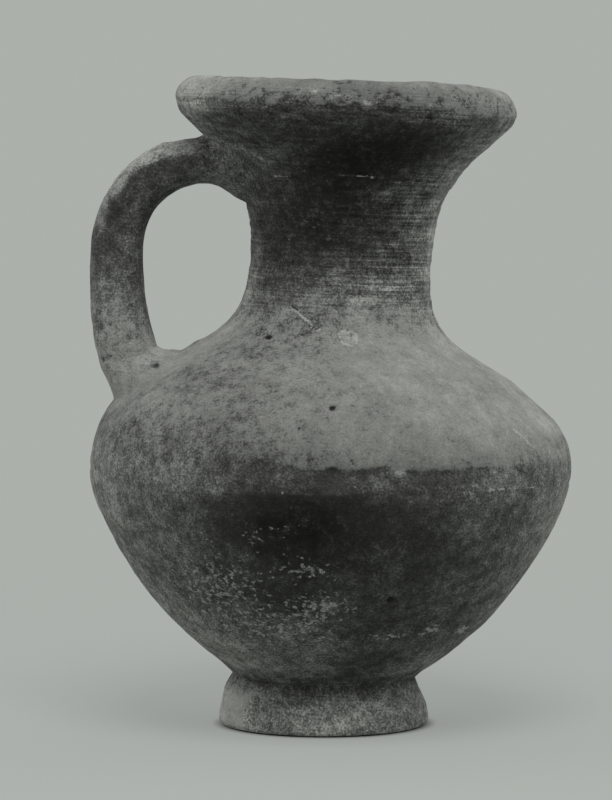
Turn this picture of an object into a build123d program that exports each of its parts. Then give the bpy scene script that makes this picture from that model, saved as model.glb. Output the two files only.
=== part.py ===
from build123d import *
import os
from math import cos, radians, sin, tan

# A round-mouthed clay jug with one strap handle, put together the way a potter does it: a turned
# bowl on a luted foot ring, a shoulder, a neck and a mouth turned apart and seated on bevelled
# joints, and a pulled strap held at each end by a wad of clay saddled on to the wall.
# Millimetres and degrees. +Z is up, the origin is the middle of the foot's resting face, and the
# handle is on the -X side. Heights run along the axes, which lean a little, as on the real jug.

# Overall heights above the table
JUG_HEIGHT = 200.0
NECK_HEIGHT = 145.0
BELLY_HEIGHT = 79.9

# Lean of the hand-turned pieces towards +X
BOWL_LEAN = 1.3
UPPER_LEAN = 2.7

# Foot ring
FOOT_HEIGHT = 15.3
FOOT_RADIUS = 32.8
FOOT_WAIST_RADIUS = 27.5
FOOT_EDGE_ROUND = 2.0
FOOT_FLANK_BULGE = 1.0
FOOT_RECESS_RADIUS = 23.0
FOOT_RECESS_TAPER = 2.5

# Bowl
BELLY_RADIUS = 75.0
BELLY_ROUND = 29.3
BOWL_TURN = 23.5
BASE_RADIUS = 18.8
BASE_HEIGHT = 9.4
FLOOR_RADIUS = 20.0
FLOOR_THICKNESS = 7.0
WALL = 5.5

# Shoulder and neck
SHOULDER_SLOPE = 49.0
SHOULDER_BREAK_RADIUS = 55.5
NECK_ROOT_SLOPE = 61.0
NECK_RADIUS = 28.2
NECK_FULLNESS = 1.5

# Mouth
LIP_RADIUS = 52.5
LIP_ROUND = 7.0
FLARE_SLOPE = 48.5
FLARE_FULLNESS = 1.35
FUNNEL_SLOPE = 35.0

# Bevelled joints between the turned pieces: a height above the table or a drop below the lip's
# crown, and the rise of the joint face for each millimetre outward
BELLY_JOINT_RISE = -0.45
NECK_JOINT_HEIGHT = 126.0
NECK_JOINT_RISE = 0.6
MOUTH_JOINT_DROP = 28.4
MOUTH_JOINT_RISE = -0.5
JOINT_LAP = 16.0

# Strap handle, its centre line measured from the axis of the neck, its top below the lip's crown,
# and its landing at a share of the shoulder's straight slope, counted from the belly
HANDLE_REACH = 69.4
HANDLE_TOP_DROP = 27.4
HANDLE_SIDE_HEIGHT = 144.0
HANDLE_LEAVING_ANGLE = 14.0
HANDLE_LANDING_ANGLE = 30.0
HANDLE_BEND_FULLNESS = 1.45
HANDLE_LANDING_FULLNESS = 0.7
HANDLE_LANDING_SHARE = 0.4
HANDLE_WIDTH = 23.0
HANDLE_END_SPREAD = 3.0
HANDLE_TOP_THICKNESS = 14.0
HANDLE_FOOT_THICKNESS = 18.2
STRAP_SECTIONS = 9

# Wads of clay that lute the strap to the neck and the shoulder
UPPER_PAD_LENGTH = 24.0
UPPER_PAD_WIDTH = 48.0
UPPER_PAD_HEIGHT = 28.0
LOWER_PAD_LENGTH = 13.0
LOWER_PAD_SINK = 5.0
LOWER_PAD_WIDTH = 37.0
LOWER_PAD_HEIGHT = 23.0
PAD_FLARE = 1.6
PAD_SECTIONS = 5

# Frames of the bowl and of everything above it, both with their origin at the belly's centre
BOWL_FRAME = Rotation(0, BOWL_LEAN, 0) * Pos(0, 0, BELLY_HEIGHT)
UPPER_FRAME = BOWL_FRAME * Rotation(0, UPPER_LEAN - BOWL_LEAN, 0)
HANDLE_PLANE = Plane((0, 0, 0), x_dir=(-1, 0, 0), z_dir=(0, 1, 0))


def heading(angle):
    """Direction in the (radius, height) plane, so many degrees outward from straight up."""
    return (sin(radians(angle)), cos(radians(angle)))


def moved(point, angle, distance):
    """A (radius, height) point carried along a heading."""
    across, up = heading(angle)
    return (point[0] + across * distance, point[1] + up * distance)


def turned(edges):
    """A closed (radius, height) outline turned round the upright axis."""
    return revolve(Plane.XZ * make_face(edges), Axis.Z)


def belly_point(angle, depth):
    """A point on the belly's rounding, above the widest place, so deep under the outer skin."""
    return moved((BELLY_RADIUS - BELLY_ROUND, 0), 90 - angle, BELLY_ROUND - depth)


def bowl_side(depth, end):
    """The bowl's wall from above the belly joint down to a point near the foot."""
    turn = belly_point(-BOWL_TURN, depth)
    return [
        ThreePointArc(belly_point(JOINT_LAP, depth), belly_point(0, depth), turn),
        TangentArc(turn, end, tangent=heading(180 + BOWL_TURN)),
    ]


def bowl_solids():
    """The bowl's shell, and its outer form filled in, which the foot ring is cut to."""
    waist = (FOOT_WAIST_RADIUS, FOOT_HEIGHT - BELLY_HEIGHT)
    base = (BASE_RADIUS, BASE_HEIGHT - BELLY_HEIGHT)
    floor = (FLOOR_RADIUS, base[1] + FLOOR_THICKNESS)
    top = belly_point(JOINT_LAP, 0)
    outside = bowl_side(0, waist) + [Polyline(waist, base, (0, base[1]))]
    inside = bowl_side(WALL, floor) + [Line(floor, (0, floor[1]))]
    rim = Line(top, belly_point(JOINT_LAP, WALL))
    axis = Line((0, base[1]), (0, floor[1]))
    filled = Polyline((0, base[1]), (0, top[1]), top)
    return turned(outside + inside + [rim, axis]), turned(outside + [filled])


def lip_point(angle):
    """A point on the lip's rounding, so many degrees outward from its crown."""
    centre = (LIP_RADIUS - LIP_ROUND, JUG_HEIGHT - BELLY_HEIGHT - LIP_ROUND)
    return moved(centre, angle, LIP_ROUND)


def shoulder_break(depth):
    """Where the shoulder's straight slope gives way to the sweep into the neck."""
    turn = belly_point(SHOULDER_SLOPE, depth)
    inset = depth * cos(radians((SHOULDER_SLOPE + NECK_ROOT_SLOPE) / 2))
    run = turn[0] - (SHOULDER_BREAK_RADIUS - inset)
    return (turn[0] - run, turn[1] + run / tan(radians(SHOULDER_SLOPE)))


def upper_side(depth, lip, lip_slope):
    """The wall from below the belly joint over the shoulder and neck up to the lip."""
    turn = belly_point(SHOULDER_SLOPE, depth)
    corner = shoulder_break(depth)
    waist = (NECK_RADIUS - depth, NECK_HEIGHT - BELLY_HEIGHT)
    rising = heading(0)
    neck_pull = (NECK_FULLNESS, NECK_FULLNESS)
    flare_pull = (FLARE_FULLNESS, FLARE_FULLNESS)
    return [
        ThreePointArc(belly_point(-JOINT_LAP, depth), belly_point(0, depth), turn),
        Line(turn, corner),
        Spline(corner, waist, tangents=(heading(-NECK_ROOT_SLOPE), rising), tangent_scalars=neck_pull),
        Spline(waist, lip, tangents=(rising, heading(lip_slope)), tangent_scalars=flare_pull),
    ]


def upper_solids():
    """The shell above the belly in one piece, and its outer form filled in to trim the pads."""
    lip_outside = lip_point(90 + FLARE_SLOPE)
    lip_inside = lip_point(FUNNEL_SLOPE - 90)
    low = belly_point(-JOINT_LAP, 0)
    outside = upper_side(0, lip_outside, FLARE_SLOPE)
    inside = upper_side(WALL, lip_inside, FUNNEL_SLOPE)
    crown = lip_point(0)
    lip = ThreePointArc(lip_outside, crown, lip_inside)
    rim = Line(low, belly_point(-JOINT_LAP, WALL))
    half_lip = ThreePointArc(lip_outside, lip_point(FLARE_SLOPE), crown)
    filled = Polyline(crown, (0, crown[1]), (0, low[1]), low)
    return turned(outside + [lip, rim] + inside), turned(outside + [half_lip, filled])


def below_joint(radius, height, rise):
    """Everything under a conical joint face that passes through a radius and height."""
    far = 2 * BELLY_RADIUS
    deep = -2 * JUG_HEIGHT
    apex = height - radius * rise
    return turned([Polyline((0, deep), (far, deep), (far, apex + far * rise), (0, apex), close=True)])


def foot_ring(bowl_form):
    """The ring that the jug stands on, hollowed to the bowl's underside, with a flat rest."""
    edge_low = (FOOT_RADIUS - FOOT_EDGE_ROUND, 0)
    edge_high = (FOOT_RADIUS, FOOT_EDGE_ROUND)
    waist = (FOOT_WAIST_RADIUS, FOOT_HEIGHT)
    # the ring runs on into the bowl by a wall's thickness, and the bowl's form then cuts its seat
    seat = (FOOT_WAIST_RADIUS, FOOT_HEIGHT + WALL)
    recess_low = (FOOT_RECESS_RADIUS, 0)
    recess_high = (FOOT_RECESS_RADIUS - FOOT_RECESS_TAPER, FOOT_HEIGHT)
    outline = [
        TangentArc(edge_low, edge_high, tangent=(1, 0)),
        SagittaArc(edge_high, waist, -FOOT_FLANK_BULGE),
        Polyline(waist, seat, recess_high, recess_low, edge_low),
    ]
    return turned(outline) - bowl_form


def handle_path():
    """Centre line of the handle from inside the neck, out, down and into the shoulder's wall."""
    start = (NECK_RADIUS - WALL, JUG_HEIGHT - HANDLE_TOP_DROP - BELLY_HEIGHT)
    side = (HANDLE_REACH, HANDLE_SIDE_HEIGHT - BELLY_HEIGHT)
    turn = belly_point(SHOULDER_SLOPE, 0)
    corner = shoulder_break(0)
    landing = [a + (b - a) * HANDLE_LANDING_SHARE for a, b in zip(turn, corner)]
    end = moved(landing, 180 + HANDLE_LANDING_ANGLE, LOWER_PAD_SINK)
    leaving = heading(90 - HANDLE_LEAVING_ANGLE)
    arriving = heading(180 + HANDLE_LANDING_ANGLE)
    fullness = (HANDLE_BEND_FULLNESS, HANDLE_BEND_FULLNESS, HANDLE_LANDING_FULLNESS)
    line = Spline(start, side, end, tangents=(leaving, heading(180), arriving), tangent_scalars=fullness)
    return HANDLE_PLANE * line


def strap_size(share):
    """Width and thickness of the strap at a share of its length from the neck."""
    width = HANDLE_WIDTH + HANDLE_END_SPREAD * (2 * share - 1) ** 2
    thickness = HANDLE_TOP_THICKNESS + (HANDLE_FOOT_THICKNESS - HANDLE_TOP_THICKNESS) * share
    return (width, thickness)


def handle_section(path, distance, size):
    """An oval section square to the handle's centre line."""
    at = path.position_at(distance, position_mode=PositionMode.LENGTH)
    along = path.tangent_at(distance, position_mode=PositionMode.LENGTH)
    return Plane(at, x_dir=(0, 1, 0), z_dir=along) * Ellipse(size[0] / 2, size[1] / 2)


def handle_strap(path, start, end):
    """The pulled strap between the faces of the two pads."""
    shares = [step / (STRAP_SECTIONS - 1) for step in range(STRAP_SECTIONS)]
    return loft([handle_section(path, start + (end - start) * s, strap_size(s)) for s in shares])


def handle_pad(path, start, end, start_size, end_size, wall_form):
    """A wad that starts as the strap's end section, spreads, and is saddled on to the wall."""
    sections = []
    for step in range(PAD_SECTIONS):
        share = step / (PAD_SECTIONS - 1)
        flare = share**PAD_FLARE
        size = [a + (b - a) * flare for a, b in zip(start_size, end_size)]
        sections.append(handle_section(path, start + (end - start) * share, size))
    return loft(sections) - wall_form


def jug_pieces():
    """Every piece of the jug in its place, by name."""
    bowl_shell, bowl_form = (BOWL_FRAME * solid for solid in bowl_solids())
    upper_shell, upper_form = upper_solids()
    under_neck = below_joint(NECK_RADIUS, NECK_JOINT_HEIGHT - BELLY_HEIGHT, NECK_JOINT_RISE)
    mouth_joint = JUG_HEIGHT - MOUTH_JOINT_DROP - BELLY_HEIGHT
    under_mouth = below_joint(NECK_RADIUS, mouth_joint, MOUTH_JOINT_RISE)
    under_shoulder = BOWL_FRAME * below_joint(BELLY_RADIUS - WALL / 2, 0, BELLY_JOINT_RISE)

    path = handle_path()
    strap_start = UPPER_PAD_LENGTH
    strap_end = path.length - LOWER_PAD_LENGTH
    upper_pad_root = (UPPER_PAD_WIDTH, UPPER_PAD_HEIGHT)
    lower_pad_root = (LOWER_PAD_WIDTH, LOWER_PAD_HEIGHT)
    upper_pad = handle_pad(path, strap_start, 0, strap_size(0), upper_pad_root, upper_form)
    lower_pad = handle_pad(path, strap_end, path.length, strap_size(1), lower_pad_root, upper_form)

    return {
        "foot_ring": foot_ring(bowl_form),
        "bowl": bowl_shell & under_shoulder,
        "shoulder": UPPER_FRAME * (upper_shell & under_neck) - under_shoulder,
        "neck": UPPER_FRAME * ((upper_shell - under_neck) & under_mouth),
        "mouth": UPPER_FRAME * (upper_shell - under_mouth),
        "handle_strap": UPPER_FRAME * handle_strap(path, strap_start, strap_end),
        "handle_upper_pad": UPPER_FRAME * upper_pad,
        "handle_lower_pad": UPPER_FRAME * lower_pad,
    }


os.makedirs("parts", exist_ok=True)
for name, piece in jug_pieces().items():
    piece.label = name
    export_step(piece, f"parts/{name}.step")
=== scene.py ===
from math import cos, pi, radians, sin, tan

import bpy
import numpy as np
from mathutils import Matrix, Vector


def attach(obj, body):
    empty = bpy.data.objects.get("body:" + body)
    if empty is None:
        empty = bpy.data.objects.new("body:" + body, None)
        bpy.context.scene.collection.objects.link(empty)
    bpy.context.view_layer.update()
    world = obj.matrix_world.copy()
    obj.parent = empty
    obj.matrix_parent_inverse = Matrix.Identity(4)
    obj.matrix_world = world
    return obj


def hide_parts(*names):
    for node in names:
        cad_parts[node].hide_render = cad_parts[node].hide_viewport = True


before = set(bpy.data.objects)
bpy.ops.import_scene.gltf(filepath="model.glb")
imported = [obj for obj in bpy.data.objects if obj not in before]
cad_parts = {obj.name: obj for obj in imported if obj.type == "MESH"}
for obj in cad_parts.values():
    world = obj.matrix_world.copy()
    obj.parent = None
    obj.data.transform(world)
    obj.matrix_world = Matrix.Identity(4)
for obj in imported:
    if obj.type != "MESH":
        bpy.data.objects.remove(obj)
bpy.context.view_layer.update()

# A hand-turned clay jug with one strap handle. Every skin is made upright, in millimetres and as
# the wheel left it, then worn, and last leaned the way the real jug leans. Heights run up the axis
# from the table. Angles go round the axis from +X, so -90 faces the camera and 180 is the handle.
MM = 0.001

# Sizes shared with the solids
JUG_HEIGHT = 200.0
NECK_HEIGHT = 145.0
BELLY_HEIGHT = 79.9
BOWL_LEAN = 1.3
UPPER_LEAN = 2.7
FOOT_HEIGHT = 15.3
FOOT_RADIUS = 32.8
FOOT_WAIST_RADIUS = 27.5
FOOT_EDGE_ROUND = 2.0
FOOT_FLANK_BULGE = 1.0
FOOT_RECESS_RADIUS = 23.0
FOOT_RECESS_TAPER = 2.5
BELLY_RADIUS = 75.0
BELLY_ROUND = 29.3
BOWL_TURN = 23.5
BASE_RADIUS = 18.8
BASE_HEIGHT = 9.4
FLOOR_RADIUS = 20.0
FLOOR_THICKNESS = 7.0
WALL = 5.5
SHOULDER_SLOPE = 49.0
SHOULDER_BREAK_RADIUS = 55.5
NECK_ROOT_SLOPE = 61.0
NECK_RADIUS = 28.2
NECK_FULLNESS = 1.5
LIP_RADIUS = 52.5
LIP_ROUND = 7.0
FLARE_SLOPE = 48.5
FLARE_FULLNESS = 1.35
FUNNEL_SLOPE = 35.0
BELLY_JOINT_RISE = -0.45
NECK_JOINT_HEIGHT = 126.0
NECK_JOINT_RISE = 0.6
MOUTH_JOINT_DROP = 28.4
MOUTH_JOINT_RISE = -0.5
HANDLE_REACH = 69.4
HANDLE_TOP_DROP = 27.4
HANDLE_SIDE_HEIGHT = 144.0
HANDLE_LEAVING_ANGLE = 14.0
HANDLE_LANDING_ANGLE = 30.0
HANDLE_BEND_FULLNESS = 1.45
HANDLE_LANDING_FULLNESS = 0.7
HANDLE_LANDING_SHARE = 0.4
HANDLE_WIDTH = 23.0
HANDLE_END_SPREAD = 3.0
HANDLE_TOP_THICKNESS = 14.0
HANDLE_FOOT_THICKNESS = 18.2
UPPER_PAD_LENGTH = 24.0
LOWER_PAD_LENGTH = 13.0
LOWER_PAD_SINK = 5.0

# The pads' spread on the skin, in millimetres up or down and in degrees to each side. The lower
# reach is less than 0, since the strap's outer side runs to the pad's lower edge there
UPPER_FOOT_HEIGHT = 171.9
UPPER_FOOT_REACH = 10.3
UPPER_FOOT_HALF_ANGLE = 52.0
UPPER_FOOT = (UPPER_FOOT_HEIGHT, UPPER_FOOT_REACH, UPPER_FOOT_HALF_ANGLE)
LOWER_FOOT_RISE = 5.6
LOWER_FOOT_REACH = -8.1
LOWER_FOOT_HALF_ANGLE = 20.0
HANDLE_ANGLE = 180

# Fineness of the skins: counts of points and rings, and steps in millimetres
COLUMNS = 600
STRAP_COLUMNS = 144
ARC_POINTS = 60
CURVE_POINTS = 120
FLANK_POINTS = 40
SPINE_POINTS = 2001
PAD_RINGS = 56
JOINT_RINGS = 2
SKIN_STEP = 0.75
FINE_STEP = 0.45
HIDDEN_STEP = 2.6
RECESS_STEP = 1.5
SHARP_ANGLE = 50


def heading(angle):
    """Direction in the (radius, height) plane, in degrees outward from up."""
    return np.array([sin(radians(angle)), cos(radians(angle))])


def ramp(value, start, end):
    """Smooth step from 0 at start to 1 at end."""
    share = np.clip((value - start) / (end - start), 0, 1)
    return share * share * (3 - 2 * share)


def fall(value, start, end):
    """Smooth step from 1 at start to 0 at end."""
    return 1 - ramp(value, start, end)


def hump(value, centre, reach):
    """Smooth bump of height 1 that dies away about one reach off."""
    return np.exp(-(((value - centre) / reach) ** 2))


def band(value, rise=None, drop=None, at=None):
    """1 in a band of values: past a rise, before a drop or at a place."""
    share = np.ones_like(value)
    for shape, ends in ((ramp, rise), (fall, drop), (hump, at)):
        if ends is not None:
            share = share * shape(value, *ends)
    return share


def arc(centre, radius, start, end):
    """Points on a circle from one heading to another."""
    return np.array([centre + heading(a) * radius for a in np.linspace(start, end, ARC_POINTS)])


def cubic(start, end, leaving, arriving, t):
    """Points of a cubic curve at shares t, from its ends and tangents."""
    ends = (2 * t**3 - 3 * t**2 + 1) * start + (3 * t**2 - 2 * t**3) * end
    return ends + (t**3 - 2 * t**2 + t) * leaving + (t**3 - t**2) * arriving


def hermite(start, end, leaving, arriving, pulls):
    """A smooth curve. The pulls are shares of the distance between its ends."""
    chord = np.linalg.norm(end - start)
    t = np.linspace(0, 1, CURVE_POINTS)[:, None]
    return cubic(start, end, leaving * chord * pulls[0], arriving * chord * pulls[1], t)


def lengths_along(line):
    """Length of a line up to each of its points."""
    return np.append(0, np.cumsum(np.linalg.norm(np.diff(line, axis=0), axis=1)))


# Whole numbers that scramble a cell and a seed
CELL_KEYS = np.array([0x8DA6B343, 0xD8163841, 0xCB1AB31F], np.uint32)
SEED_KEY = 7919
SCRAMBLES = ((15, 0x2C1B3C6D), (12, 0x297A2D39), (15, 0x1B56C4E9))


def lattice(cell, seed):
    """A repeatable random value from 0 to 1 for every whole-numbered cell."""
    mixed = (cell.astype(np.uint32) * CELL_KEYS).sum(-1, dtype=np.uint32) + np.uint32(seed * SEED_KEY)
    for shift, factor in SCRAMBLES:
        mixed = (mixed ^ (mixed >> np.uint32(shift))) * np.uint32(factor)
    return mixed / 2.0**32


def noise(points, size, seed):
    """Smooth noise from -1 to 1. The lumps' size may differ by axis."""
    place = points / size
    cell = np.floor(place).astype(np.int64)
    part = place - cell
    part = part**3 * (part * (part * 6 - 15) + 10)
    total = np.zeros(part.shape[:-1])
    for corner in np.ndindex(2, 2, 2):
        share = np.where(np.array(corner, bool), part, 1 - part).prod(-1)
        total += share * lattice(cell + np.array(corner), seed)
    return 2 * total - 1


def lumps(points, layers):
    """Sum of layers of noise, each an amount, a size and a seed."""
    return sum(amount * noise(points, size, seed) for amount, size, seed in layers)


# The jug's wall, turned round the axis
FLOOR_HEIGHT = BASE_HEIGHT + FLOOR_THICKNESS
LIP_CENTRE = np.array([LIP_RADIUS - LIP_ROUND, JUG_HEIGHT - LIP_ROUND])
BELLY_CENTRE = np.array([BELLY_RADIUS - BELLY_ROUND, BELLY_HEIGHT])
SHOULDER_TURN = BELLY_CENTRE + heading(90 - SHOULDER_SLOPE) * BELLY_ROUND


def shoulder_break(depth):
    """Where the shoulder's straight slope turns into the neck's sweep."""
    turn = SHOULDER_TURN - heading(90 - SHOULDER_SLOPE) * depth
    inset = depth * cos(radians((SHOULDER_SLOPE + NECK_ROOT_SLOPE) / 2))
    run = turn[0] - (SHOULDER_BREAK_RADIUS - inset)
    return turn - [run, -run / tan(radians(SHOULDER_SLOPE))]


def wall_line(depth, foot, lip, lip_slope):
    """The wall's (radius, height) line, so deep under the skin."""
    out = heading(90 + BOWL_TURN)
    turn = BELLY_CENTRE + out * (BELLY_ROUND - depth)
    drop = foot - turn
    bowl_round = -drop.dot(drop) / (2 * drop.dot(out))
    bowl_centre = turn - out * bowl_round
    foot_angle = np.degrees(np.arctan2(*(foot - bowl_centre)))
    neck = np.array([NECK_RADIUS - depth, NECK_HEIGHT])
    corner = shoulder_break(depth)
    neck_pulls = (NECK_FULLNESS, NECK_FULLNESS)
    flare_pulls = (FLARE_FULLNESS, FLARE_FULLNESS)
    return [
        arc(bowl_centre, bowl_round, foot_angle, 90 + BOWL_TURN),
        arc(BELLY_CENTRE, BELLY_ROUND - depth, 90 + BOWL_TURN, 90 - SHOULDER_SLOPE),
        hermite(corner, neck, heading(-NECK_ROOT_SLOPE), heading(0), neck_pulls),
        hermite(neck, lip, heading(0), heading(lip_slope), flare_pulls),
    ]


def spaced(line, step):
    """The line's points at even steps, with the normals on its right side."""
    keep = np.append(True, np.linalg.norm(np.diff(line, axis=0), axis=1) > 1e-6)
    line = line[keep]
    length = lengths_along(line)
    places = np.linspace(0, length[-1], max(2, int(np.ceil(length[-1] / step)) + 1))
    points = np.stack([np.interp(places, length, line[:, k]) for k in (0, 1)], 1)
    along = np.gradient(points, places, axis=0)
    along /= np.linalg.norm(along, axis=1)[:, None]
    return points, np.stack([along[:, 1], -along[:, 0]], 1)


def outer_line():
    """The skin from the axis under the bowl to the lip's crown."""
    waist = np.array([FOOT_WAIST_RADIUS, FOOT_HEIGHT])
    lip = LIP_CENTRE + heading(90 + FLARE_SLOPE) * LIP_ROUND
    base = np.array([[0, BASE_HEIGHT], [BASE_RADIUS, BASE_HEIGHT]])
    crown = arc(LIP_CENTRE, LIP_ROUND, 90 + FLARE_SLOPE, 0)
    return np.vstack([base, *wall_line(0, waist, lip, FLARE_SLOPE), crown])


def inner_line():
    """The inside from the axis on the floor to the lip's crown."""
    floor = np.array([FLOOR_RADIUS, FLOOR_HEIGHT])
    lip = LIP_CENTRE + heading(FUNNEL_SLOPE - 90) * LIP_ROUND
    crown = arc(LIP_CENTRE, LIP_ROUND, FUNNEL_SLOPE - 90, 0)
    middle = np.array([[0, FLOOR_HEIGHT]])
    return np.vstack([middle, *wall_line(WALL, floor, lip, FUNNEL_SLOPE), crown])


OUTER = outer_line()
INNER = inner_line()

# Bevelled joints between the turned pieces: radius, height and rise for each millimetre outward
BELLY_JOINT = (BELLY_RADIUS - WALL / 2, BELLY_HEIGHT, BELLY_JOINT_RISE)
NECK_JOINT = (NECK_RADIUS, NECK_JOINT_HEIGHT, NECK_JOINT_RISE)
MOUTH_JOINT = (NECK_RADIUS, JUG_HEIGHT - MOUTH_JOINT_DROP, MOUTH_JOINT_RISE)


def between_joints(line, low, high):
    """A wall line between two joints. None leaves that end whole."""
    for joint, above in ((low, 1), (high, -1)):
        if joint is None:
            continue
        radius, height, rise = joint
        past = above * (line[:, 1] - height - rise * (line[:, 0] - radius))
        cut = np.flatnonzero(np.diff(past > 0))[0]
        share = past[cut] / (past[cut] - past[cut + 1])
        edge = line[cut] + (line[cut + 1] - line[cut]) * share
        line = np.vstack([edge, line[cut + 1:]]) if above > 0 else np.vstack([line[:cut + 1], edge])
    return line


def joint_edge_height(joint):
    """Height at which a joint shows on the outer skin."""
    return between_joints(OUTER, joint, None)[0, 1]


SEAM_HEIGHT = joint_edge_height(BELLY_JOINT)
FLARE_EDGE_HEIGHT = joint_edge_height(MOUTH_JOINT)

# Lean of the whole jug, which changes over a spread to each side of the belly's widest place
LEAN_SPREAD = 14.0


def lean(height):
    """Lean towards +X at a height, in radians."""
    bowl = BOWL_LEAN * ramp(height, 0, FOOT_HEIGHT)
    bend = ramp(height, BELLY_HEIGHT - LEAN_SPREAD, BELLY_HEIGHT + LEAN_SPREAD)
    return np.radians(bowl + (UPPER_LEAN - BOWL_LEAN) * bend)


SPINE = np.linspace(0, JUG_HEIGHT + 2 * LIP_ROUND, SPINE_POINTS)
SPINE_ACROSS = np.append(0, np.cumsum(np.sin(lean(SPINE[1:])) * np.diff(SPINE)))
SPINE_UP = np.append(0, np.cumsum(np.cos(lean(SPINE[1:])) * np.diff(SPINE)))


def leaned(points):
    """Upright millimetre points brought into the frame, in metres."""
    x, y, height = points[..., 0], points[..., 1], points[..., 2]
    tilt = lean(height)
    across = np.interp(height, SPINE, SPINE_ACROSS) + x * np.cos(tilt)
    up = np.interp(height, SPINE, SPINE_UP) - x * np.sin(tilt)
    return np.stack([across, y, up], -1) * MM


# Marks on the skin


def upright_angle(points):
    """Angle round the axis in degrees."""
    return np.degrees(np.arctan2(points[..., 1], points[..., 0]))


def axis_distance(points):
    """Distance from the axis."""
    return np.hypot(points[..., 0], points[..., 1])


def turn_from(points, angle):
    """Degrees from an angle to each point, at most half a turn either way."""
    return (upright_angle(points) - angle + 180) % 360 - 180


def arc_from(points, angle):
    """The same as a length on the skin."""
    return np.radians(turn_from(points, angle)) * axis_distance(points)


def facing(points, angle, reach):
    """1 towards an angle, dying away over a reach in degrees."""
    return hump(turn_from(points, angle), 0, reach)


def area(points, weight=1, side=None, **heights):
    """A weight over a band of heights and, where given, towards one side.

    It comes in over a rise and goes out over a drop, both pairs of heights, or lies at a height
    with its reach. Its side is an angle with its reach in degrees.
    """
    share = weight * band(points[..., 2], **heights)
    return share if side is None else share * facing(points, *side)


def areas(points, rows):
    """Sum of a list of areas."""
    return sum(area(points, **row) for row in rows)


def spot(points, mark):
    """How much of a mark reaches each point, from 0 to 1."""
    height, angle, half_height, half_width = mark[:4]
    return hump(points[..., 2], height, half_height) * hump(arc_from(points, angle), 0, half_width)


def spots(points, marks):
    """Sum of marks, each with a fifth value as its weight."""
    return sum(mark[4] * spot(points, mark) for mark in marks)


def scratches(points, marks):
    """How much of a list of scratches reaches each point."""
    radius = axis_distance(points)
    total = np.zeros_like(radius)
    for (low, low_angle), (high, high_angle), width, strength in marks:
        away = np.stack([arc_from(points, low_angle), points[..., 2] - low], -1)
        run = np.stack([radians(high_angle - low_angle) * radius, np.full_like(radius, high - low)], -1)
        share = np.clip((away * run).sum(-1) / (run * run).sum(-1), 0, 1)
        off = np.linalg.norm(away - run * share[..., None], axis=-1)
        total = total + strength * hump(off, 0, width)
    return total


# Wear of the skin

# Small hollows: height, angle, half height, half width and depth
PITS = (
    (121.6, -125.5, 0.8, 1.5, 1.2), (103.2, -90.5, 0.8, 1.1, 1.3), (104.3, -85, 0.45, 0.55, 0.7),
    (97, -98.5, 0.5, 0.6, 0.8), (45.8, -71.5, 1, 1.3, 1.1), (88, 60, 1, 1.2, 1.1),
    (110, 100, 0.9, 1, 1), (52, 140, 1.1, 1.1, 1.1),
)
DARK_LIP_CHIPS = (
    (190.4, -111, 0.9, 3.2, 0.8),
    (191.6, -75.5, 0.8, 2.4, 0.7),
    (190.6, -62, 0.8, 2.2, 0.7),
)
LIP_CHIPS = (
    (200, -146, 4, 1.6, 2.2),
    (192, 75, 1.4, 3.4, 0.9),
    (199, 120, 3, 3, 0.7),
)
# Where the hand-turned wall swells or falls back, by an amount in place of the depth
SWELLS = (
    (93, 0, 8, 60, 0.9), (73, 0, 8, 60, -0.6), (150, 0, 16, 40, 0.35),
    (182, 0, 5, 30, 0.3), (20.5, 180, 3.5, 28, -0.6), (197.5, 0, 3.5, 30, -0.5),
    (200, -62, 5, 42, 1.1), (195.5, 180, 4, 30, 0.7), (117, 180, 1.3, 2.6, 0.5),
    (121, 180, 6, 22, 0.5), (150, 180, 14, 22, -0.8), (90, 180, 10, 60, -0.5),
    (11.5, 180, 2.6, 12, 0.6),
)
# Light scratches and dark cracks: height and angle at each end, width and strength
SCRATCHES = (
    ((130.2, -115), (124.9, -99), 0.45, 1),
    ((129.4, -113.5), (124.3, -100.5), 0.4, 1),
    ((99.2, -39.5), (92.4, -33), 0.7, 1),
    ((92.1, -25.5), (88.4, -27.5), 0.8, 1),
    ((79.7, -20), (73.3, -21), 0.7, 1),
    ((172, -84), (172.2, -78.5), 0.4, 0.9),
    ((171.7, -76.5), (171.5, -73), 0.4, 0.9),
    ((170.7, -127.5), (170.8, -117), 0.35, 0.6),
)
CRACKS = (
    ((131.4, -118.5), (130.3, -113.8), 0.5, 1),
    ((86.8, -41.5), (84.4, -39.5), 0.5, 1),
    ((80, -59), (79.6, -54.5), 0.4, 1),
)
SCRATCH_RIDGE = 0.25
CRACK_DEPTH = 0.5
# Layers of noise: amount, size of the lumps and seed
SKIN_LUMPS = ((0.3, 27, 1), (0.13, 9, 2), (0.07, 2.6, 3))
LIP_LUMPS = ((0.25, 5, 8), (0.3, 14, 9))
FOOT_LUMPS = ((0.25, 6, 10),)
INSIDE_LUMPS = ((0.25, 24, 11), (0.15, (80, 80, 6), 12))
DEPOSIT_RAGS = ((0.9, 9, 31), (0.6, 3.2, 32))
CRUST_RAGS = ((0.8, 8, 33), (0.9, 2.6, 34))
WIDE_RING_SIZE = (60, 60, 4.2)
FINE_RING_SIZE = (30, 30, 1.25)
# Takes the height out of points, so that noise on them is the same all the way up
LEVEL = np.array([1, 1, 0])
# Lower edge of the pale deposit on the shoulder, with the angle, half width and length of its tongue
DEPOSIT_EDGE = 86.6
DEPOSIT_TONGUE = (-74.6, 2.8, 1.6)
# Lower edge of the pale crust on the lip, with the sides where it is drawn up or down
CRUST_EDGE = 192.7
CRUST_DRAWN_UP = (dict(weight=0.8, side=(-118, 22)), dict(weight=-1.4, side=(-18, 26)))
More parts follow.
